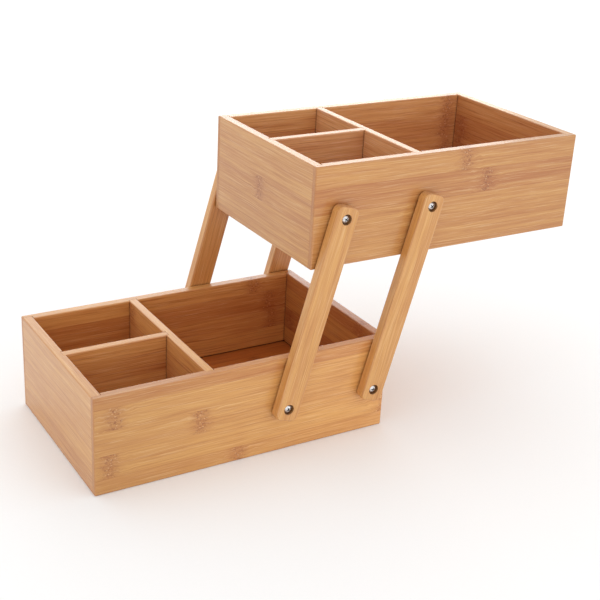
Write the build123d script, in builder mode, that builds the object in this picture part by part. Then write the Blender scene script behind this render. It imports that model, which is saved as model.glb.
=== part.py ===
from build123d import *
import math
import os

# A two-tier cantilever sewing box in solid bamboo: two like trays joined by four
# arms, which swing the upper tray up and over to the right of the lower one.
# Millimetres. +X is the way the box opens, the front is -Y, +Z is up. The origin
# is on the table, at the middle of the box's footprint in its half-open position.

# Trays
TRAY_LENGTH = 283.0
TRAY_WIDTH = 176.0
TRAY_HEIGHT = 90.0
WALL = 9.0
TONGUE = 4.5  # thickness left on a long wall's end, where it laps over a short wall
EASE = 1.0  # rounding of a board's long edges
CORNER_EASE = 1.5  # rounding of a tray's upright corners
BREAK = 0.3  # small chamfer on glued ends and round drilled mouths

# Floor panel, loose in a groove that runs round all four walls
PANEL = 4.0
PANEL_TOP = 14.5  # above the tray's bottom edge
PANEL_PLAY = 0.3  # between the panel's edge and the bottom of the groove
GROOVE_DEPTH = 4.0
GROOVE_HEIGHT = 5.0

# Dividers, flush with the rim and let into their neighbours
DIVIDER = 8.0
DADO = 2.5
CROSS_DIVIDER_LEFT = 102.5  # from the tray's left end to the divider's left face

# Arms
ARM_REACH = 174.5  # from pivot to pivot
ARM_WIDTH = 22.0
ARM_THICK = 10.0
ARM_CORNER = 6.5
ARM_EASE = 1.5
ARM_LEAN = 15.4  # degrees from upright towards +X in the half-open position
BORE_CLEARANCE = 0.05  # radial, so that an arm turns on its screw
COUNTERBORE_RADIUS = 4.75
COUNTERBORE_DEPTH = 3.7

# Pivots
PIVOT_HEIGHT = 45.0  # above each tray's bottom edge
PIVOT_SPACING = 88.5
LOWER_PIVOT = 175.5  # from the lower tray's left end to its front row's first pivot
BACK_ROW_SHIFT = -6.0  # of the back row's pivots from the front row's, in X
CLOSED_GAP = 0.2  # between the trays when the upper one is down on the lower

# Pan-head wood screws, 3.5 x 13
SHANK_RADIUS = 1.75
SHANK_LENGTH = 13.0
POINT_LENGTH = 3.0
HEAD_RADIUS = 3.5
HEAD_HEIGHT = 2.6
HEAD_RIM = 1.1  # height of the head's upright edge, below its dome
SEAT_PLAY = 0.1  # under the head, and between a washer and its arm
CROSS_LENGTH = 4.0
CROSS_WIDTH = 1.0
CROSS_DEPTH = 1.7
CROSS_TAPER = 12.0

# Spacer washers between an arm and its tray
WASHER_RADIUS = 5.0
WASHER_THICK = 1.0

# The upper tray's pivots are set so that the closed box's trays stand square
# over each other. The two offsets are where the upper tray is when half open.
CLOSED_RISE = TRAY_HEIGHT + CLOSED_GAP
UPPER_PIVOT = LOWER_PIVOT - math.sqrt(ARM_REACH**2 - CLOSED_RISE**2)
LEAN = math.radians(ARM_LEAN)
UPPER_SHIFT = LOWER_PIVOT + ARM_REACH * math.sin(LEAN) - UPPER_PIVOT
UPPER_LIFT = ARM_REACH * math.cos(LEAN)

LOWER_LEFT = -(TRAY_LENGTH + UPPER_SHIFT) / 2
UPPER_LEFT = LOWER_LEFT + UPPER_SHIFT
FIRST_PIVOT_X = LOWER_LEFT + LOWER_PIVOT

SIDE_Y = TRAY_WIDTH / 2
INNER_Y = SIDE_Y - WALL
LAP_Y = SIDE_Y - TONGUE
ARM_INNER_Y = SIDE_Y + WASHER_THICK + SEAT_PLAY
ARM_OUTER_Y = ARM_INNER_Y + ARM_THICK
SEAT_Y = ARM_OUTER_Y - COUNTERBORE_DEPTH + SEAT_PLAY
PILOT_DEPTH = SHANK_LENGTH - (SEAT_Y - SIDE_Y)

FRONT, BACK = -1, 1
LEFT, RIGHT = -1, 1


def long_wall(left, bottom, side, pivots):
    """The front or back wall: a full-length board, rabbeted at both ends."""
    middle = left + TRAY_LENGTH / 2
    with BuildPart() as wall:
        with BuildSketch(Plane.XY.offset(bottom)):
            with Locations((middle, side * (SIDE_Y - WALL / 2))):
                Rectangle(TRAY_LENGTH, WALL)
        extrude(amount=TRAY_HEIGHT)
        outer_face = wall.faces().sort_by(Axis((0, 0, 0), (0, side, 0)))[-1]
        fillet(outer_face.edges().filter_by(Axis.Z), CORNER_EASE)
        fillet(wall.faces().filter_by(Axis.Z).edges(), EASE)
        with BuildSketch(Plane.XY.offset(bottom)):
            with Locations((middle, side * (INNER_Y + LAP_Y) / 2)):
                with GridLocations(TRAY_LENGTH - WALL, 0, 2, 1):
                    Rectangle(WALL, LAP_Y - INNER_Y)
        extrude(amount=TRAY_HEIGHT, mode=Mode.SUBTRACT)
        with BuildSketch(Plane.XY.offset(bottom + PANEL_TOP - PANEL)):
            with Locations((middle, side * (INNER_Y + GROOVE_DEPTH / 2))):
                Rectangle(TRAY_LENGTH - 2 * WALL, GROOVE_DEPTH)
        extrude(amount=GROOVE_HEIGHT, mode=Mode.SUBTRACT)
        with BuildSketch(Plane.XY.offset(bottom + PANEL_TOP)):
            with Locations((left + CROSS_DIVIDER_LEFT + DIVIDER / 2, side * (INNER_Y + DADO / 2))):
                Rectangle(DIVIDER, DADO)
        extrude(amount=TRAY_HEIGHT - PANEL_TOP, mode=Mode.SUBTRACT)
        for pivot_x in pivots:
            mouth = (pivot_x, side * SIDE_Y, bottom + PIVOT_HEIGHT)
            with Locations(Plane(mouth, z_dir=(0, side, 0))):
                Hole(SHANK_RADIUS, depth=PILOT_DEPTH)
    return wall.part


def short_wall(left, bottom, side):
    """The left or right end wall, between the long walls' tongues."""
    middle = left + TRAY_LENGTH / 2 + side * (TRAY_LENGTH - WALL) / 2
    inner = middle - side * WALL / 2
    with BuildPart() as wall:
        with BuildSketch(Plane.XY.offset(bottom)):
            with Locations((middle, 0)):
                Rectangle(WALL, 2 * LAP_Y)
        extrude(amount=TRAY_HEIGHT)
        fillet(wall.edges().filter_by(Axis.Y), EASE)
        end_edges = wall.faces().filter_by(Axis.Y).edges()
        chamfer(end_edges.filter_by(lambda edge: abs(edge.center().X - inner) > EASE), BREAK)
        with BuildSketch(Plane.XY.offset(bottom + PANEL_TOP - PANEL)):
            with Locations((inner + side * GROOVE_DEPTH / 2, 0)):
                Rectangle(GROOVE_DEPTH, 2 * LAP_Y)
        extrude(amount=GROOVE_HEIGHT, mode=Mode.SUBTRACT)
        if side == LEFT:
            with BuildSketch(Plane.XY.offset(bottom + PANEL_TOP)):
                with Locations((inner + side * DADO / 2, 0)):
                    Rectangle(DADO, DIVIDER)
            extrude(amount=TRAY_HEIGHT - PANEL_TOP, mode=Mode.SUBTRACT)
    return wall.part


def floor_panel(left, bottom):
    """The thin floor, which sits in the walls' groove."""
    rim = WALL - GROOVE_DEPTH + PANEL_PLAY
    with BuildPart() as panel:
        with BuildSketch(Plane.XY.offset(bottom + PANEL_TOP - PANEL)):
            with Locations((left + TRAY_LENGTH / 2, 0)):
                Rectangle(TRAY_LENGTH - 2 * rim, TRAY_WIDTH - 2 * rim)
        extrude(amount=PANEL)
    return panel.part


def cross_divider(left, bottom):
    """The divider from front wall to back wall, dadoed on its left for the short one."""
    left_face = left + CROSS_DIVIDER_LEFT
    rim = bottom + TRAY_HEIGHT
    with BuildPart() as divider:
        with BuildSketch(Plane.XY.offset(bottom + PANEL_TOP)):
            with Locations((left_face + DIVIDER / 2, 0)):
                Rectangle(DIVIDER, 2 * (INNER_Y + DADO))
        extrude(amount=TRAY_HEIGHT - PANEL_TOP)
        fillet(divider.faces().sort_by(Axis.Z)[-1].edges().filter_by(Axis.Y), EASE)
        end_edges = divider.faces().filter_by(Axis.Y).edges()
        chamfer(end_edges.filter_by(lambda edge: edge.center().Z > rim - EASE), BREAK)
        with BuildSketch(Plane.XY.offset(bottom + PANEL_TOP)):
            with Locations((left_face + DADO / 2, 0)):
                Rectangle(DADO, DIVIDER)
        extrude(amount=TRAY_HEIGHT - PANEL_TOP, mode=Mode.SUBTRACT)
    return divider.part


def short_divider(left, bottom):
    """The divider from the left wall to the cross divider, at mid width."""
    start = left + WALL - DADO
    end = left + CROSS_DIVIDER_LEFT + DADO
    rim = bottom + TRAY_HEIGHT
    with BuildPart() as divider:
        with BuildSketch(Plane.XY.offset(bottom + PANEL_TOP)):
            with Locations(((start + end) / 2, 0)):
                Rectangle(end - start, DIVIDER)
        extrude(amount=TRAY_HEIGHT - PANEL_TOP)
        fillet(divider.faces().sort_by(Axis.Z)[-1].edges().filter_by(Axis.X), EASE)
        end_edges = divider.faces().filter_by(Axis.X).edges()
        chamfer(end_edges.filter_by(lambda edge: edge.center().Z > rim - EASE), BREAK)
    return divider.part


def arm(pivot_x, side):
    """A flat link, with a screw hole and counterbore at each end."""
    across = Vector(math.cos(LEAN), 0, -math.sin(LEAN)) * -side
    inner_face = Plane((pivot_x, side * ARM_INNER_Y, PIVOT_HEIGHT), across, (0, side, 0))
    with BuildPart() as link:
        with BuildSketch(inner_face):
            with Locations((0, ARM_REACH / 2)):
                RectangleRounded(ARM_WIDTH, ARM_REACH + ARM_WIDTH, ARM_CORNER)
        extrude(amount=ARM_THICK)
        fillet(link.faces().filter_by(Axis.Y).edges(), ARM_EASE)
        with Locations(inner_face.offset(ARM_THICK)):
            with Locations((0, 0), (0, ARM_REACH)):
                CounterBoreHole(SHANK_RADIUS + BORE_CLEARANCE, COUNTERBORE_RADIUS, COUNTERBORE_DEPTH)
        outer_face = link.faces().sort_by(Axis((0, 0, 0), (0, side, 0)))[-1]
        chamfer(outer_face.inner_wires().edges(), BREAK)
    return link.part


def screw(x, z, side, turn):
    """A pan-head screw, its cross recess turned about its axis by turn degrees."""
    seat = side * SEAT_Y
    top = side * (SEAT_Y + HEAD_HEIGHT)
    with BuildPart() as fastener:
        with BuildSketch(Plane.XY.offset(z)):
            with BuildLine():
                edge = Line((x + HEAD_RADIUS, seat), (x + HEAD_RADIUS, seat + side * HEAD_RIM))
                RadiusArc(edge @ 1, (x, top), -side * DOME_RADIUS)
                Polyline(
                    (x, top),
                    (x, seat - side * SHANK_LENGTH),
                    (x + SHANK_RADIUS, seat - side * (SHANK_LENGTH - POINT_LENGTH)),
                    (x + SHANK_RADIUS, seat),
                    edge @ 0,
                )
            make_face()
        revolve(axis=Axis((x, 0, z), (0, 1, 0)))
        with BuildSketch(Plane((x, top, z), (1, 0, 0), (0, side, 0))):
            Rectangle(CROSS_LENGTH, CROSS_WIDTH, rotation=turn)
            Rectangle(CROSS_WIDTH, CROSS_LENGTH, rotation=turn)
        extrude(amount=-CROSS_DEPTH, taper=CROSS_TAPER, mode=Mode.SUBTRACT)
    return fastener.part


def washer(x, z, side):
    """A plain washer against the tray's wall."""
    with BuildPart() as ring:
        with BuildSketch(Plane((x, side * SIDE_Y, z), (1, 0, 0), (0, side, 0))):
            Circle(WASHER_RADIUS)
            Circle(SHANK_RADIUS + BORE_CLEARANCE, mode=Mode.SUBTRACT)
        extrude(amount=WASHER_THICK)
    return ring.part


def save(name, part):
    part.label = name
    export_step(part, f"parts/{name}.step")


# The dome on a head has the radius that meets the head's edge and its full height
DOME_RISE = HEAD_HEIGHT - HEAD_RIM
DOME_RADIUS = (HEAD_RADIUS**2 + DOME_RISE**2) / (2 * DOME_RISE)

os.makedirs("parts", exist_ok=True)

rows = {
    "front": (FRONT, 0.0),
    "back": (BACK, BACK_ROW_SHIFT),
}
trays = {
    "lower": (LOWER_LEFT, 0.0, LOWER_PIVOT),
    "upper": (UPPER_LEFT, UPPER_LIFT, UPPER_PIVOT),
}
for tier, (left, bottom, first_pivot) in trays.items():
    for row, (side, row_shift) in rows.items():
        first_x = left + first_pivot + row_shift
        pivots = [first_x, first_x + PIVOT_SPACING]
        save(f"{tier}_{row}_wall", long_wall(left, bottom, side, pivots))
    save(f"{tier}_left_wall", short_wall(left, bottom, LEFT))
    save(f"{tier}_right_wall", short_wall(left, bottom, RIGHT))
    save(f"{tier}_floor_panel", floor_panel(left, bottom))
    save(f"{tier}_cross_divider", cross_divider(left, bottom))
    save(f"{tier}_short_divider", short_divider(left, bottom))

# Each screw was driven home at its own angle, so no two cross recesses line up
turn = 20.0
for row, (side, row_shift) in rows.items():
    for place, step in (("left", 0.0), ("right", PIVOT_SPACING)):
        low_x = FIRST_PIVOT_X + row_shift + step
        save(f"{row}_{place}_arm", arm(low_x, side))
        ends = {
            "lower": (low_x, PIVOT_HEIGHT),
            "upper": (low_x + ARM_REACH * math.sin(LEAN), PIVOT_HEIGHT + UPPER_LIFT),
        }
        for end, (x, z) in ends.items():
            save(f"{row}_{place}_{end}_screw", screw(x, z, side, turn))
            save(f"{row}_{place}_{end}_washer", washer(x, z, side))
            turn += 37.0
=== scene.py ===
import math
import random

import bpy
from mathutils import Matrix, Vector


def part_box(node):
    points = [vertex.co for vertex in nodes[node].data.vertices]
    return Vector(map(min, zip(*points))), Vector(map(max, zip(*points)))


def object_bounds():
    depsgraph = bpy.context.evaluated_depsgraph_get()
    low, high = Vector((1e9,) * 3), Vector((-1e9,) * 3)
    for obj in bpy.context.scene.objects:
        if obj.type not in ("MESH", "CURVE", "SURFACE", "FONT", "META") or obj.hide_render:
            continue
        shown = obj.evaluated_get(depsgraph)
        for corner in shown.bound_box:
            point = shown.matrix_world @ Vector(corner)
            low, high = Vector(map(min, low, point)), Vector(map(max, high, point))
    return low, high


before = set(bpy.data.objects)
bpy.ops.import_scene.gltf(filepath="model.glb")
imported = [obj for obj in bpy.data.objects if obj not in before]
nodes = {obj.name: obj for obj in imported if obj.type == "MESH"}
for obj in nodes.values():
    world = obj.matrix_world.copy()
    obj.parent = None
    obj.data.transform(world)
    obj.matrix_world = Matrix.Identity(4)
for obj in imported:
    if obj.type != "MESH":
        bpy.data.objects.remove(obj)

# Looks for a cantilever sewing box in laminated bamboo: materials, studio and camera.
# Every board, arm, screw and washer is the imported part's own solid. Names ending in
# _REACH or _DEPTH are metres. Other lengths in the materials are millimetres.

cad_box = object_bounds()
MM = 1000.0
X, Y, Z = 0, 1, 2


# ---------------------------------------------------------------- node helpers


class Tree:
    """Adds shader nodes to one tree, and links whatever it is given."""

    def __init__(self, tree):
        self.tree = tree

    def add(self, kind, **settings):
        node = self.tree.nodes.new(kind)
        for name, value in settings.items():
            setattr(node, name, value)
        return node

    def feed(self, socket, value):
        if isinstance(value, bpy.types.NodeSocket):
            self.tree.links.new(value, socket)
        else:
            socket.default_value = value

    def math(self, operation, a, b=0.0, clamp=False):
        node = self.add("ShaderNodeMath", operation=operation, use_clamp=clamp)
        for socket, value in zip(node.inputs, (a, b)):
            self.feed(socket, value)
        return node.outputs[0]

    def swing(self, value, amount):
        """amount times how far value, from 0 to 1, is above one half."""
        return self.math("MULTIPLY", self.math("SUBTRACT", value, 0.5), amount)

    def ramp01(self, value, low, high):
        """value's way from low to high, as 0 to 1."""
        node = self.add("ShaderNodeMapRange", clamp=True)
        node.interpolation_type = "SMOOTHSTEP"
        self.feed(node.inputs["Value"], value)
        self.feed(node.inputs["From Min"], low)
        self.feed(node.inputs["From Max"], high)
        return node.outputs["Result"]

    def split(self, vector):
        node = self.add("ShaderNodeSeparateXYZ")
        self.feed(node.inputs[0], vector)
        return node.outputs[0], node.outputs[1], node.outputs[2]

    def join(self, x, y, z):
        node = self.add("ShaderNodeCombineXYZ")
        for socket, value in zip(node.inputs, (x, y, z)):
            self.feed(socket, value)
        return node.outputs[0]

    def over(self, values, sizes, offset):
        """Two values, each divided by its size, and an offset as the third."""
        x, y = (self.math("DIVIDE", value, size) for value, size in zip(values, sizes))
        return self.join(x, y, offset)

    def evenly_over(self, values, size):
        return self.join(*[self.math("DIVIDE", value, size) for value in values])

    def mix(self, factor, a, b, blend="MIX"):
        node = self.add("ShaderNodeMix", data_type="RGBA", blend_type=blend)
        self.feed(node.inputs["Factor"], factor)
        self.feed(node.inputs["A"], a)
        self.feed(node.inputs["B"], b)
        return node.outputs["Result"]

    def stain(self, colour, other, mask, strength):
        """colour, with the share strength of another colour where mask is 1."""
        return self.mix(self.math("MULTIPLY", mask, strength), colour, other)

    def blend(self, factor, a, b):
        """A number between a and b."""
        node = self.add("ShaderNodeMix", data_type="FLOAT")
        self.feed(node.inputs["Factor"], factor)
        self.feed(node.inputs["A"], a)
        self.feed(node.inputs["B"], b)
        return node.outputs["Result"]

    def noise(self, vector, scale=1.0, detail=2.0, roughness=0.5, distortion=0.0):
        node = self.add("ShaderNodeTexNoise")
        self.feed(node.inputs["Vector"], vector)
        self.feed(node.inputs["Scale"], scale)
        self.feed(node.inputs["Detail"], detail)
        self.feed(node.inputs["Roughness"], roughness)
        self.feed(node.inputs["Distortion"], distortion)
        return node.outputs["Fac"]

    def cells(self, vector, scale):
        """Distance to the nearest of scattered points."""
        node = self.add("ShaderNodeTexVoronoi")
        self.feed(node.inputs["Vector"], vector)
        self.feed(node.inputs["Scale"], scale)
        return node.outputs["Distance"]

    def hollow(self, reach, samples, clear, deep):
        """1 where other surfaces within reach shut the light out, 0 where it is clear."""
        node = self.add("ShaderNodeAmbientOcclusion", samples=samples)
        node.inputs["Distance"].default_value = reach
        return self.ramp01(node.outputs["AO"], clear, deep)

    def place_on(self, centre, lean):
        """Millimetres from centre, once the node is turned upright by lean degrees about
        Y. Object coordinates ride with the node's body."""
        place = self.add("ShaderNodeTexCoord").outputs["Object"]
        turn = self.add("ShaderNodeMapping", vector_type="TEXTURE")
        self.feed(turn.inputs["Vector"], place)
        turn.inputs["Location"].default_value = centre
        turn.inputs["Rotation"].default_value = (0.0, math.radians(lean), 0.0)
        turn.inputs["Scale"].default_value = (1 / MM, 1 / MM, 1 / MM)
        return turn.outputs[0]

    def constant_ramp(self, value, stops):
        """A ramp that jumps from one stop's three numbers to the next."""
        node = self.add("ShaderNodeValToRGB")
        ramp = node.color_ramp
        ramp.interpolation = "CONSTANT"
        while len(ramp.elements) < len(stops):
            ramp.elements.new(0.5)
        for element, (position, numbers) in zip(ramp.elements, stops):
            element.position = position
            element.color = (*numbers, 1.0)
        self.feed(node.inputs["Fac"], value)
        colour = self.add("ShaderNodeSeparateColor")
        self.feed(colour.inputs[0], node.outputs["Color"])
        return colour.outputs[0], colour.outputs[1], colour.outputs[2]

    def surface(self, colour, roughness, height, relief, depth, **amounts):
        """The shader. amounts are its plain values, named with _ for a space."""
        bump = self.add("ShaderNodeBump")
        bump.inputs["Strength"].default_value = relief
        bump.inputs["Distance"].default_value = depth
        self.feed(bump.inputs["Height"], height)
        shader = self.add("ShaderNodeBsdfPrincipled")
        for name, value in amounts.items():
            shader.inputs[name.replace("_", " ")].default_value = value
        self.feed(shader.inputs["Base Color"], colour)
        self.feed(shader.inputs["Roughness"], roughness)
        self.feed(shader.inputs["Normal"], bump.outputs[0])
        output = self.add("ShaderNodeOutputMaterial")
        self.feed(output.inputs["Surface"], shader.outputs[0])


def new_material(name):
    """A node's own material, and its empty tree."""
    material = bpy.data.materials.new(name)
    material.use_nodes = True
    material.node_tree.nodes.clear()
    return material, Tree(material.node_tree)


def srgb(red, green, blue):
    """A colour given as 0 to 255 in sRGB, as the linear RGBA that shaders take."""
    linear = []
    for level in (red, green, blue):
        share = level / 255
        linear.append(share / 12.92 if share <= 0.04045 else ((share + 0.055) / 1.055) ** 2.4)
    return (*linear, 1.0)


def middle(node):
    lo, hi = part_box(node)
    return (lo + hi) / 2


def dress(node, material):
    for slot in nodes[node].material_slots:
        slot.material = material


# ---------------------------------------------------------------- bamboo

PALE = srgb(216, 160, 90)
WARM = srgb(196, 133, 72)
RUDDY = srgb(184, 114, 62)
FIBRE = srgb(162, 90, 38)
STAIN = srgb(170, 98, 52)
KNUCKLE = srgb(134, 70, 40)
FLECK = srgb(240, 205, 156)
END_GRAIN = srgb(186, 132, 88)
ROUNDING_SHADE = srgb(188, 124, 78)
# Painted shade colours: in crevices and counterbores, and in the outside corners
CREVICE_SHADE = srgb(62, 24, 9)
OUTER_CORNER_SHADE = srgb(134, 64, 28)

STRIP = 22.0  # width of a lamination
PLY = 3.0  # thickness of a lamination
INTERNODE = 270.0  # between knuckles along a lamination
OFF_THE_EDGE = (0.1, 0.9)  # shares of the first lamination that were cut away
STRIP_WIDTHS = (0.9, 1.08)  # narrowest and widest lamination, as shares of STRIP
STRIP_TONES = (0.12, 0.88)
SEED_SHIFT = 37.0  # how far apart in the noises two boards are

# A noise's marks: their length and width, its detail and roughness, and an offset
BANDS = ((150.0, 5.0), 2.5, 0.55, 0.0)
STREAKS = ((75.0, 1.25), 4.0, 0.66, 11.0)
BUNDLES = ((34.0, 0.6), 3.0, 0.6, 23.0)

# What pushes fibres and knuckles out of line: the size of its marks, and the push.
# BULGE_SPAN is how near a knuckle the fibres start to bulge, and are pushed in full
SWAY_SIZE, SWAY_PUSH = (60.0, 40.0), 2.4
BULGE_SIZE, BULGE_PUSH, BULGE_SPAN = (9.0, 5.0), 6.0, (36.0, 4.0)
WOBBLE_WIDTH, WOBBLE_PUSH, WOBBLE_OFFSET = 7.0, 9.0, 3.0
FRAY_SIZE, FRAY_PUSH, FRAY_OFFSET = (6.0, 2.2), 16.0, 5.0

# A knuckle: how far its stain and its marks spread, the marks, and their strengths
NEAR_SPAN, CORE_SPAN = (15.0, 0.0), (8.5, 1.5)
SQUIGGLE_SIZE = (2.1, 1.7, 3.0)
SQUIGGLE_DETAIL, SQUIGGLE_ROUGHNESS, SQUIGGLE_TWIST = 1.5, 0.5, 1.2
SQUIGGLE_LEVELS, DOT_SCALE, DOT_RADII = (0.46, 0.68), 0.62, (0.3, 0.12)
STAIN_SHARE, SQUIGGLE_SHARE, DOT_SHARE = 0.4, 0.62, 0.42

# How strongly each kind of grain tones the wood. A pair is for outside and inside faces
BAND_TONE, STREAK_TONE, PLY_TONE = 1.7, 0.75, 0.22
RUDDY_SHARE = 0.7
DARK_STREAK_LEVELS, DARK_STREAK_SHARES = (0.53, 0.7), (0.34, 0.74)
DARK_BUNDLE_LEVELS, LIGHT_BUNDLE_LEVELS, BUNDLE_SHARE = (0.52, 0.66), (0.46, 0.34), 0.3

GLUE_WIDTHS, GLUE_SHARE = (0.32, 0.08), 0.34
END_FACING, END_SHARE = (0.55, 0.9), 0.65
PORE_SCALE, PORE_RADII, PORE_SHARE = 1.5, (0.42, 0.2), 0.5
INNER_FADE = (0.9, 0.2)  # from an inward face, where its painted light and shade come in

PATCH_SIZE, PATCH_DETAIL, PATCH_LEVELS = 9.0, 3.0, (0.56, 0.7)
ROUNDING_INSETS, ROUNDING_SHARES = (1.6, 0.3), (0.1, 0.5)
WORN_INSETS, WORN_SHARE = (0.9, 0.1), 0.35
SMUDGE_SIZE, SMUDGE_DETAIL, SMUDGE_LEVELS, SMUDGE_SHARE = 55.0, 3.0, (0.5, 0.75), 0.12

# Painted shade where other surfaces come near: in corners, at the inward joints and in the
# counterbores
HOLLOW_SAMPLES = 6
CORNER_SHADE_REACH, CORNER_SHADE_LEVELS, CORNER_SHADE_SHARES = 0.0045, (0.6, 0.15), (0.22, 0.7)
SEAM_SHADE_REACH, SEAM_SHADE_LEVELS, SEAM_SHADE_SHARE = 0.0013, (0.85, 0.5), 0.7
BORE_RADII, BORE_FADE, BORE_SHARE = (5.2, 4.8), (0.1, 1.4), 0.6

# The lacquer, and what each mark adds to its roughness and to the height of the wood
COAT_WEIGHT, COAT_ROUGHNESS = 0.42, 0.18
SATIN = 0.36
STREAK_ROUGH, END_ROUGH, SMUDGE_SMOOTH, SQUIGGLE_ROUGH = 0.16, 0.18, 0.06, 0.1
STREAK_RISE, BUNDLE_RISE, SQUIGGLE_SINK, GLUE_SINK, PORE_SINK = 0.6, 0.7, 0.9, 2.0, 0.8
FIBRE_RELIEF, FIBRE_DEPTH = 0.55, 0.00006


def random_strips(seed, width):
    """(start, tone, hue, knuckle's place along) of each lamination across a board."""
    dice = random.Random(seed)
    start = -dice.uniform(*OFF_THE_EDGE) * STRIP
    strips = []
    while start < width:
        tone = dice.uniform(*STRIP_TONES)
        strips.append((max(0.0, start), tone, dice.random(), INTERNODE * dice.random()))
        start += STRIP * dice.uniform(*STRIP_WIDTHS)
    return strips


def half_size(node, lean):
    """Half of a node's length on each axis, once it has been turned upright."""
    centre = middle(node)
    turn = Matrix.Rotation(-math.radians(lean), 3, "Y")
    spread = [turn @ (vertex.co - centre) for vertex in nodes[node].data.vertices]
    return [MM * max(abs(point[axis]) for point in spread) for axis in range(3)]


def bamboo(node, along, across, strips, seed, inside, painted_inward_light, light, lean=0.0, bores=()):
    """A laminated bamboo board. along and across are the grain's axes, once the board
    has been turned upright by lean degrees about Y. strips are its laminations, as
    random_strips gives them. inside says which of its two faces, -1 or 1, look inwards;
    these get painted light and shade, painted_inward_light. light is the lightness at
    mid length and its gain by the far end, partly painted light and shade. bores are
    points on the axes of its counterbores."""
    material, t = new_material(node)
    centre = middle(node)
    through = X + Y + Z - along - across

    # Grain coordinates: u along the fibres, v across them, w through the board
    local = t.split(t.place_on(centre, lean))
    u, v, w = local[along], local[across], local[through]
    half = half_size(node, lean)
    shift = seed * SEED_SHIFT
    inner = 0.0
    for side in inside:
        depth = t.math("SUBTRACT", half[through], t.math("MULTIPLY", w, side))
        inner = t.math("MAXIMUM", inner, t.ramp01(depth, *INNER_FADE))

    # Fibres wander a little
    sway = t.noise(t.over((u, v), SWAY_SIZE, shift), detail=1.0)
    v_swayed = t.math("ADD", v, t.swing(sway, SWAY_PUSH))

    # Each lamination has its own tone, hue and knuckles
    width = 2 * half[across]
    share = t.math("DIVIDE", t.math("ADD", v, half[across]), width)
    stops = []
    for start, tone, hue, knuckle in strips:
        stops.append((start / width, (tone, hue, knuckle / INTERNODE)))
    tone, hue, knuckle_place = t.constant_ramp(share, stops)

    # Distance along the lamination from its nearest knuckle, whose line is ragged
    phase = t.math("MULTIPLY", knuckle_place, INTERNODE)
    from_knuckle = t.math("SUBTRACT", t.math("ADD", u, half[along]), phase)
    wobble_at = t.join(0.0, t.math("DIVIDE", v, WOBBLE_WIDTH), shift + WOBBLE_OFFSET)
    from_knuckle = t.math("ADD", from_knuckle, t.swing(t.noise(wobble_at), WOBBLE_PUSH))
    fray = t.noise(t.over((u, v), FRAY_SIZE, shift + FRAY_OFFSET), detail=3.0)
    from_knuckle = t.math("ADD", from_knuckle, t.swing(fray, FRAY_PUSH))
    from_knuckle = t.math("ADD", from_knuckle, INTERNODE / 2)
    from_knuckle = t.math("FLOORED_MODULO", from_knuckle, INTERNODE)
    from_knuckle = t.math("ABSOLUTE", t.math("SUBTRACT", from_knuckle, INTERNODE / 2))

    # Knuckles: one column of dark squiggles and pale dots across a lamination
    near = t.ramp01(from_knuckle, *NEAR_SPAN)
    core = t.ramp01(from_knuckle, *CORE_SPAN)
    squiggle_at = t.join(*[t.math("DIVIDE", c, size) for c, size in zip((u, v, w), SQUIGGLE_SIZE)])
    squiggle = t.noise(squiggle_at, 1.0, SQUIGGLE_DETAIL, SQUIGGLE_ROUGHNESS, SQUIGGLE_TWIST)
    dark_squiggle = t.math("MULTIPLY", t.ramp01(squiggle, *SQUIGGLE_LEVELS), core)
    dot = t.ramp01(t.cells(squiggle_at, DOT_SCALE), *DOT_RADII)
    pale_dot = t.math("MULTIPLY", dot, core)

    # Fibres wander more beside a knuckle
    bulge = t.noise(t.over((u, v), BULGE_SIZE, shift), detail=1.0)
    push = t.math("MULTIPLY", t.ramp01(from_knuckle, *BULGE_SPAN), BULGE_PUSH)
    v_swayed = t.math("ADD", v_swayed, t.swing(bulge, push))

    # Broad bands, streaks and single fibre bundles, all long and thin
    def grain(size, detail, roughness, offset):
        deep = t.math("ADD", t.math("DIVIDE", w, size[1]), shift + offset)
        return t.noise(t.over((u, v_swayed), size, deep), 1.0, detail, roughness)

    bands = grain(*BANDS)
    streaks = grain(*STREAKS)
    bundles = grain(*BUNDLES)
    ply = t.add("ShaderNodeTexWhiteNoise", noise_dimensions="2D")
    layer = t.math("FLOOR", t.math("DIVIDE", t.math("ADD", w, half[through]), PLY))
    t.feed(ply.inputs["Vector"], t.join(layer, t.math("ADD", tone, shift), 0.0))

    body = t.math("ADD", t.swing(bands, BAND_TONE), tone)
    body = t.math("ADD", body, t.swing(streaks, STREAK_TONE))
    body = t.math("ADD", body, t.swing(ply.outputs["Value"], PLY_TONE), clamp=True)
    colour = t.mix(body, PALE, t.stain(WARM, RUDDY, hue, RUDDY_SHARE))
    streak_share = t.blend(inner, *DARK_STREAK_SHARES)
    colour = t.stain(colour, FIBRE, t.ramp01(streaks, *DARK_STREAK_LEVELS), streak_share)
    colour = t.stain(colour, FIBRE, t.ramp01(bundles, *DARK_BUNDLE_LEVELS), BUNDLE_SHARE)
    colour = t.stain(colour, FLECK, t.ramp01(bundles, *LIGHT_BUNDLE_LEVELS), BUNDLE_SHARE)

    # The knuckles' own colours, over a faint stain round them
    colour = t.stain(colour, STAIN, near, STAIN_SHARE)
    colour = t.stain(colour, KNUCKLE, dark_squiggle, SQUIGGLE_SHARE)
    colour = t.stain(colour, FLECK, pale_dot, DOT_SHARE)

    # No two boards are quite as light, nor one board at both ends; this is partly painted
    # light and shade, as the lower front brightening towards its right end
    level, gain = light
    lightness_and_painted_light = t.math("ADD", level, t.math("MULTIPLY", u, gain / half[along]))
    colour = t.mix(1.0, colour, t.join(lightness_and_painted_light, lightness_and_painted_light, lightness_and_painted_light), "MULTIPLY")

    # Glue lines between laminations
    lines = []
    for start, *_ in strips[1:]:
        lines.append(t.math("ABSOLUTE", t.math("SUBTRACT", v, start - half[across])))
    gap = lines[0]
    for line in lines[1:]:
        gap = t.math("MINIMUM", gap, line)
    glue = t.math("MULTIPLY", t.ramp01(gap, *GLUE_WIDTHS), GLUE_SHARE)
    colour = t.mix(glue, colour, FIBRE)

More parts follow.
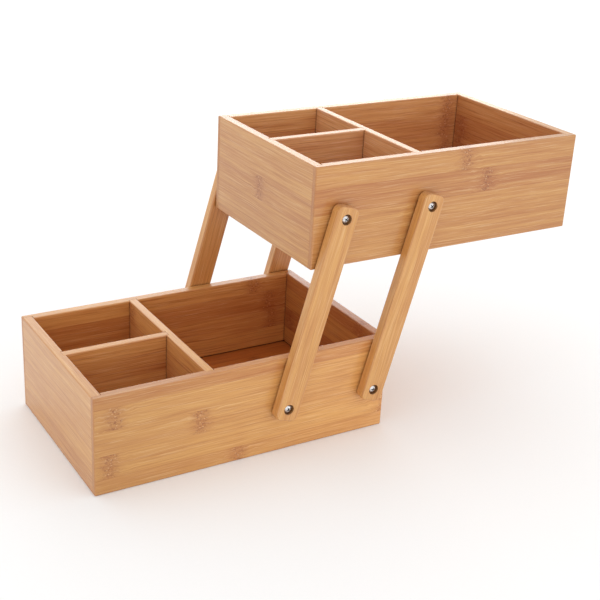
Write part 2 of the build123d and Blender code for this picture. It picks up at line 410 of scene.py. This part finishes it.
    # End grain: dark pores where the fibres come out
    normal = t.add("ShaderNodeVectorRotate", rotation_type="Y_AXIS")
    t.feed(normal.inputs["Vector"], t.add("ShaderNodeNewGeometry").outputs["True Normal"])
    t.feed(normal.inputs["Angle"], -math.radians(lean))
    end = t.ramp01(t.math("ABSOLUTE", t.split(normal.outputs[0])[along]), *END_FACING)
    pores = t.ramp01(t.cells(t.join(v, w, shift), PORE_SCALE), *PORE_RADII)
    end_colour = t.stain(END_GRAIN, KNUCKLE, pores, PORE_SHARE)
    colour = t.stain(colour, end_colour, end, END_SHARE)

    # The faces that look inwards get painted light and shade, darker on floors and right walls,
    # lighter in the upper tray
    if inside:
        colour = t.mix(inner, colour, (*painted_inward_light, 1.0), "MULTIPLY")

    # Edges, where the second of the three insets from the board's faces is small too:
    # the rounding gets a painted shade, darker and warmer, and is worn paler in places
    inset = []
    for axis in range(3):
        inset.append(t.math("SUBTRACT", half[axis], t.math("ABSOLUTE", local[axis])))
    least = t.math("MINIMUM", t.math("MINIMUM", inset[X], inset[Y]), inset[Z])
    most = t.math("MAXIMUM", t.math("MAXIMUM", inset[X], inset[Y]), inset[Z])
    total = t.math("ADD", t.math("ADD", inset[X], inset[Y]), inset[Z])
    second = t.math("SUBTRACT", t.math("SUBTRACT", total, least), most)
    patches = t.noise(t.evenly_over(local, PATCH_SIZE), detail=PATCH_DETAIL)
    rounding = t.ramp01(second, *ROUNDING_INSETS)
    colour = t.stain(colour, ROUNDING_SHADE, rounding, t.blend(patches, *ROUNDING_SHARES))
    worn = t.math("MULTIPLY", t.ramp01(second, *WORN_INSETS), t.ramp01(patches, *PATCH_LEVELS))
    colour = t.stain(colour, PALE, worn, WORN_SHARE)

    # Handling darkens broad patches a little. Painted shade darkens the corners and where
    # parts meet, and the inward joints are painted dark as shade
    smudge = t.noise(t.evenly_over(local, SMUDGE_SIZE), detail=SMUDGE_DETAIL)
    colour = t.stain(colour, RUDDY, t.ramp01(smudge, *SMUDGE_LEVELS), SMUDGE_SHARE)
    corner_shade = t.hollow(CORNER_SHADE_REACH, HOLLOW_SAMPLES, *CORNER_SHADE_LEVELS)
    corner_shade_share = t.blend(inner, *CORNER_SHADE_SHARES)
    colour = t.stain(colour, t.mix(inner, OUTER_CORNER_SHADE, CREVICE_SHADE), corner_shade, corner_shade_share)
    # Dark joint lines in the inward corners, painted as shade where surfaces meet
    seam_shade = t.math("MULTIPLY", t.hollow(SEAM_SHADE_REACH, HOLLOW_SAMPLES, *SEAM_SHADE_LEVELS), inner)
    colour = t.stain(colour, CREVICE_SHADE, seam_shade, SEAM_SHADE_SHARE)

    # Counterbores are bare end grain, with a painted shadow below the arm's face
    upright = Matrix.Rotation(-math.radians(lean), 3, "Y")
    for bore in bores:
        flat = t.join(*[0.0 if axis == through else local[axis] for axis in range(3)])
        axis_point = upright @ ((bore - centre) * MM)
        axis_point[through] = 0.0
        measure = t.add("ShaderNodeVectorMath", operation="DISTANCE")
        t.feed(measure.inputs[0], flat)
        t.feed(measure.inputs[1], axis_point)
        depth = t.math("SUBTRACT", half[through], t.math("ABSOLUTE", w))
        within = t.ramp01(measure.outputs["Value"], *BORE_RADII)
        sunk_shadow = t.math("MULTIPLY", within, t.ramp01(depth, *BORE_FADE))
        colour = t.stain(colour, CREVICE_SHADE, sunk_shadow, BORE_SHARE)

    # Satin lacquer: sinks between the fibres, and rubbed smoother where it is handled
    roughness = t.math("ADD", SATIN, t.math("MULTIPLY", streaks, STREAK_ROUGH))
    roughness = t.math("ADD", roughness, t.math("MULTIPLY", end, END_ROUGH))
    roughness = t.math("SUBTRACT", roughness, t.math("MULTIPLY", smudge, SMUDGE_SMOOTH))
    roughness = t.math("ADD", roughness, t.math("MULTIPLY", dark_squiggle, SQUIGGLE_ROUGH))
    height = t.math("MULTIPLY", streaks, STREAK_RISE)
    height = t.math("ADD", height, t.math("MULTIPLY", bundles, BUNDLE_RISE))
    height = t.math("SUBTRACT", height, t.math("MULTIPLY", dark_squiggle, SQUIGGLE_SINK))
    height = t.math("SUBTRACT", height, t.math("MULTIPLY", glue, GLUE_SINK))
    open_pores = t.math("MULTIPLY", pores, end)
    height = t.math("SUBTRACT", height, t.math("MULTIPLY", open_pores, PORE_SINK))
    t.surface(
        colour, roughness, height, FIBRE_RELIEF, FIBRE_DEPTH,
        Coat_Weight=COAT_WEIGHT, Coat_Roughness=COAT_ROUGHNESS,
    )
    return material


# Boards: name ending, grain's axis, axis across the grain, faces inside a compartment
BOARDS = {
    "front_wall": (X, Z, (1,)),
    "back_wall": (X, Z, (-1,)),
    "left_wall": (Y, Z, (1,)),
    "right_wall": (Y, Z, (-1,)),
    "cross_divider": (Y, Z, (-1, 1)),
    "short_divider": (X, Z, (-1, 1)),
    "floor_panel": (X, Y, (1,)),
}

# Laminations that show most, from the bottom up: start, tone, hue, knuckle's place along
CHOSEN_STRIPS = {
    "lower_front_wall": [
        (0, 0.45, 0.2, 132), (14, 0.16, 0.0, 13), (36, 0.28, 0.2, 96),
        (58, 0.2, 0.1, 18), (79, 0.7, 0.6, 187),
    ],
    "lower_left_wall": [
        (0, 0.5, 0.4, 230), (20, 0.38, 0.3, 250), (42, 0.52, 0.4, 215), (64, 0.42, 0.3, 240),
    ],
    "lower_back_wall": [
        (0, 0.0, 0.2, 20), (34, 0.6, 0.5, 258), (53, 0.85, 0.4, 254), (75, 0.45, 0.2, 236),
    ],
    "lower_right_wall": [
        (0, 0.1, 0.3, 60), (32, 0.95, 0.7, 152), (54, 0.2, 0.2, 220), (76, 0.85, 0.5, 30),
    ],
    "lower_short_divider": [
        (0, 0.5, 0.4, 190), (20, 0.35, 0.2, 170), (42, 0.5, 0.4, 200), (64, 0.4, 0.3, 150),
    ],
    "upper_front_wall": [
        (0, 0.6, 0.3, 103), (5, 0.58, 0.3, 106), (26, 0.5, 0.4, 110),
        (48, 0.88, 0.8, 182), (70, 0.52, 0.4, 156),
    ],
    "upper_left_wall": [
        (0, 0.6, 0.4, 230), (12, 0.48, 0.3, 250), (34, 0.55, 0.4, 88),
        (56, 0.6, 0.3, 200), (78, 0.4, 0.2, 245),
    ],
    "upper_back_wall": [
        (0, 0.4, 0.3, 130), (26, 0.45, 0.4, 263), (48, 0.6, 0.5, 260), (70, 0.35, 0.3, 262),
    ],
    "upper_right_wall": [
        (0, 0.4, 0.3, 90), (26, 0.4, 0.4, 153), (48, 0.65, 0.5, 151), (70, 0.3, 0.2, 205),
    ],
    "upper_short_divider": [
        (0, 0.45, 0.3, 180), (14, 0.6, 0.4, 150), (36, 0.4, 0.2, 210), (58, 0.5, 0.4, 170),
    ],
}

# Painted light and shade on each board's inward faces, as shares of red, green and blue:
# darker on the floors and right walls, lighter and greyer in the upper tray
LONG_WALLS = {"lower": (1.06, 0.95, 0.9), "upper": (1.08, 1.08, 1.38)}
SMALL_COMPARTMENTS = {"lower": (1.05, 0.98, 1.02), "upper": (1.15, 1.22, 1.8)}
FLOORS = {"lower": (0.78, 0.48, 0.28), "upper": (0.88, 0.7, 0.6)}
RIGHT_WALLS = {"lower": (0.78, 0.6, 0.5), "upper": (0.83, 0.71, 0.8)}
INWARD_LIGHT_AND_SHADE = {
    "front_wall": LONG_WALLS,
    "back_wall": LONG_WALLS,
    "left_wall": SMALL_COMPARTMENTS,
    "right_wall": RIGHT_WALLS,
    "cross_divider": SMALL_COMPARTMENTS,
    "short_divider": SMALL_COMPARTMENTS,
    "floor_panel": FLOORS,
}

# A board's lightness at mid length, and its gain from there to the far end. Partly painted
# light and shade: the lower front brightens towards its right end, the upper front is darker
PLAIN = (1.0, 0.0)
TONE_AND_PAINTED_LIGHT = {
    "lower_front_wall": (1.0, 0.15),
    "lower_left_wall": (0.96, 0.0),
    "lower_back_wall": (0.96, 0.0),
    "upper_front_wall": (0.93, -0.03),
    "upper_left_wall": (0.94, 0.0),
}

seed = 1
for tier in ("lower", "upper"):
    for board, (along, across, inside) in BOARDS.items():
        node = f"{tier}_{board}"
        lo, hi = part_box(node)
        strips = CHOSEN_STRIPS.get(node) or random_strips(seed, MM * (hi - lo)[across])
        painted_inward_light = INWARD_LIGHT_AND_SHADE[board][tier]
        light = TONE_AND_PAINTED_LIGHT.get(node, PLAIN)
        dress(node, bamboo(node, along, across, strips, seed, inside, painted_inward_light, light))
        seed += 1

# The arms lean as the line between an arm's two screws does, and each is two laminations
# without a knuckle. The back arms' inner faces show between the trays and get painted shade
ARM_PAINTED_SHADE = (0.92, 0.8, 0.72)
ARM_INSIDE = {"front": (), "back": (-1,)}
FIRST_TONES, SECOND_TONES, SECOND_STARTS = (0.2, 0.45), (0.35, 0.6), (0.55, 0.8)
FIRST_HUE, SECOND_HUE = 0.2, 0.4
PAST_THE_ARM = (0.79, 0.92)
link = middle("front_left_upper_screw") - middle("front_left_lower_screw")
ARM_LEAN = math.degrees(math.atan2(link.x, link.z))
for row, inside in ARM_INSIDE.items():
    for side in ("left", "right"):
        arm = f"{row}_{side}_arm"
        arm_width = 2 * half_size(arm, ARM_LEAN)[X]
        dice = random.Random(seed)
        tone = dice.uniform(*FIRST_TONES)
        strips = [(0.0, tone, FIRST_HUE, INTERNODE * dice.uniform(*PAST_THE_ARM))]
        start = arm_width * dice.uniform(*SECOND_STARTS)
        tone = dice.uniform(*SECOND_TONES)
        strips.append((start, tone, SECOND_HUE, INTERNODE * dice.uniform(*PAST_THE_ARM)))
        bores = [middle(f"{row}_{side}_{end}_screw") for end in ("lower", "upper")]
        look = bamboo(arm, Z, X, strips, seed, inside, ARM_PAINTED_SHADE, PLAIN, ARM_LEAN, bores)
        dress(arm, look)
        seed += 1


# ---------------------------------------------------------------- steel

# Zinc plating: a tint, roughness, and turned rings to the millimetre
SCREW_FINISH = (srgb(244, 242, 240), 0.27, 3.5)
WASHER_FINISH = (srgb(205, 204, 200), 0.28, 2.0)
BLOOM = srgb(212, 213, 217)
PIT = srgb(120, 116, 112)
RECESS_SHADE = srgb(40, 34, 30)
RING_DETAIL, BLOOM_SCALE, BLOOM_DETAIL, STEEL_GRAIN = 3.0, 0.9, 4.0, 0.6
BLOOM_LEVELS, PIT_SCALE, PIT_LEVELS, PIT_SHARE = (0.35, 0.7), 6.0, (0.62, 0.72), 0.35
RECESS_SHADE_REACH, RECESS_SHADE_SAMPLES, RECESS_SHADE_LEVELS, RECESS_SHADE_SHARE = 0.0016, 8, (0.68, 0.28), 0.9
RING_ROUGH, PIT_ROUGH, RECESS_ROUGH = 0.14, 0.15, 0.3
STEEL_RELIEF, STEEL_DEPTH = 0.3, 0.00002


def steel(node, seed, tint, roughness, rings):
    """Plated steel, turned about the node's axis, which is along Y."""
    material, t = new_material(node)
    place = t.place_on(middle(node), 0.0)
    x, _, z = t.split(place)
    radius = t.math("SQRT", t.math("ADD", t.math("MULTIPLY", x, x), t.math("MULTIPLY", z, z)))
    ring_at = t.join(t.math("MULTIPLY", radius, rings), 0.0, seed)
    turned = t.noise(ring_at, 1.0, RING_DETAIL, STEEL_GRAIN)
    bloom = t.noise(place, BLOOM_SCALE, BLOOM_DETAIL, STEEL_GRAIN)
    pits = t.ramp01(t.noise(place, PIT_SCALE), *PIT_LEVELS)
    # Painted shade in the recesses, where other surfaces shut the light out; it roughens them too
    recess_shade = t.hollow(RECESS_SHADE_REACH, RECESS_SHADE_SAMPLES, *RECESS_SHADE_LEVELS)

    colour = t.mix(t.ramp01(bloom, *BLOOM_LEVELS), tint, BLOOM)
    colour = t.stain(colour, PIT, pits, PIT_SHARE)
    colour = t.stain(colour, RECESS_SHADE, recess_shade, RECESS_SHADE_SHARE)
    rough = t.math("ADD", roughness, t.math("MULTIPLY", turned, RING_ROUGH))
    rough = t.math("ADD", rough, t.math("MULTIPLY", pits, PIT_ROUGH))
    rough = t.math("ADD", rough, t.math("MULTIPLY", recess_shade, RECESS_ROUGH))
    height = t.math("SUBTRACT", turned, pits)
    t.surface(colour, rough, height, STEEL_RELIEF, STEEL_DEPTH, Metallic=1.0)
    return material


for row in ("front", "back"):
    for side in ("left", "right"):
        for end in ("lower", "upper"):
            for kind, finish in (("screw", SCREW_FINISH), ("washer", WASHER_FINISH)):
                node = f"{row}_{side}_{end}_{kind}"
                dress(node, steel(node, seed, *finish))
            seed += 1


# ---------------------------------------------------------------- studio

lo, hi = cad_box
CENTRE = (lo + hi) / 2

# Softboxes, aimed at the middle of the box: place and size in metres, power in watts.
# The low one behind puts the pale sheen on the upper tray's rims
SOFTBOXES = {
    "top_softbox": ((0.2, 0.9, 1.6), (1.8, 1.4), 0.8),
    "front_softbox": ((0.9, -1.7, 0.15), (1.2, 0.8), 3.2),
    "left_softbox": ((-1.9, 0.1, 0.6), (1.2, 1.2), 0.15),
    "back_softbox": ((1.08, 2.35, 0.91), (1.96, 0.46), 9.2),
}
for name, (position, size, power) in SOFTBOXES.items():
    light = bpy.data.lights.new(name, "AREA")
    light.shape = "RECTANGLE"
    light.size, light.size_y = size
    light.energy = power
    lamp = bpy.data.objects.new(name, light)
    bpy.context.scene.collection.objects.link(lamp)
    lamp.location = position
    lamp.rotation_euler = (CENTRE - Vector(position)).to_track_quat("-Z", "Y").to_euler()

SKY = 1.04
world = bpy.data.worlds.new("studio")
bpy.context.scene.world = world
world.use_nodes = True
background = world.node_tree.nodes["Background"]
background.inputs["Color"].default_value = (1.0, 1.0, 1.0, 1.0)
background.inputs["Strength"].default_value = SKY

# A plain pale floor, with a faint tooth so that it isn't one flat colour
FLOOR_REACH = 12.0
FLOOR_GAP = 0.0002
TOOTH_SCALE = 400.0
PAPER_DARK = (0.96, 0.96, 0.96, 1.0)
PAPER_LIGHT = (0.98, 0.98, 0.98, 1.0)
PAPER_ROUGHNESS, PAPER_SPECULAR = 0.9, 0.1
floor_mesh = bpy.data.meshes.new("studio_floor")
corners = [(x * FLOOR_REACH, y * FLOOR_REACH, 0) for x, y in ((-1, -1), (1, -1), (1, 1), (-1, 1))]
floor_mesh.from_pydata(corners, [], [(0, 1, 2, 3)])
floor = bpy.data.objects.new("studio_floor", floor_mesh)
bpy.context.scene.collection.objects.link(floor)
floor.location.z = lo.z - FLOOR_GAP
paper = bpy.data.materials.new("studio_paper")
paper.use_nodes = True
t = Tree(paper.node_tree)
shader = paper.node_tree.nodes["Principled BSDF"]
tooth = t.noise(t.add("ShaderNodeTexCoord").outputs["Object"], TOOTH_SCALE)
t.feed(shader.inputs["Base Color"], t.mix(tooth, PAPER_DARK, PAPER_LIGHT))
shader.inputs["Roughness"].default_value = PAPER_ROUGHNESS
shader.inputs["Specular IOR Level"].default_value = PAPER_SPECULAR
floor_mesh.materials.append(paper)


# ---------------------------------------------------------------- camera

# From the lower tray's near left corner, in tray heights, and the angles of the lens
NEAR_CORNER, FAR_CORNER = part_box("lower_front_wall")
TRAY_HEIGHT = (FAR_CORNER - NEAR_CORNER).z
CAMERA_FROM_CORNER = Vector((-3.241, -8.516, 5.922))
CAMERA_TURN = 31.186  # degrees to the right of straight ahead
CAMERA_DROP = 23.393  # degrees below level
CAMERA_ROLL = 2.895
SENSOR = 36.0
LENS = 69.776
SHIFT = 0.025
NEAREST, FARTHEST = 0.05, 60.0

camera_data = bpy.data.cameras.new("camera")
camera_data.sensor_width = SENSOR
camera_data.lens = LENS
camera_data.shift_x = SHIFT
camera_data.clip_start = NEAREST
camera_data.clip_end = FARTHEST
camera = bpy.data.objects.new("camera", camera_data)
bpy.context.scene.collection.objects.link(camera)
turn, drop, roll = (math.radians(a) for a in (CAMERA_TURN, CAMERA_DROP, CAMERA_ROLL))
ahead = Vector((math.sin(turn) * math.cos(drop), math.cos(turn) * math.cos(drop), -math.sin(drop)))
level = ahead.cross(Vector((0, 0, 1))).normalized()
upright = level.cross(ahead)
right = level * math.cos(roll) + upright * math.sin(roll)
up = upright * math.cos(roll) - level * math.sin(roll)
pose = Matrix((right, up, -ahead)).transposed().to_4x4()
pose.translation = NEAR_CORNER + CAMERA_FROM_CORNER * TRAY_HEIGHT
camera.matrix_world = pose
bpy.context.scene.camera = camera

bpy.context.scene.view_settings.view_transform = "Standard"
bpy.context.scene.view_settings.look = "None"
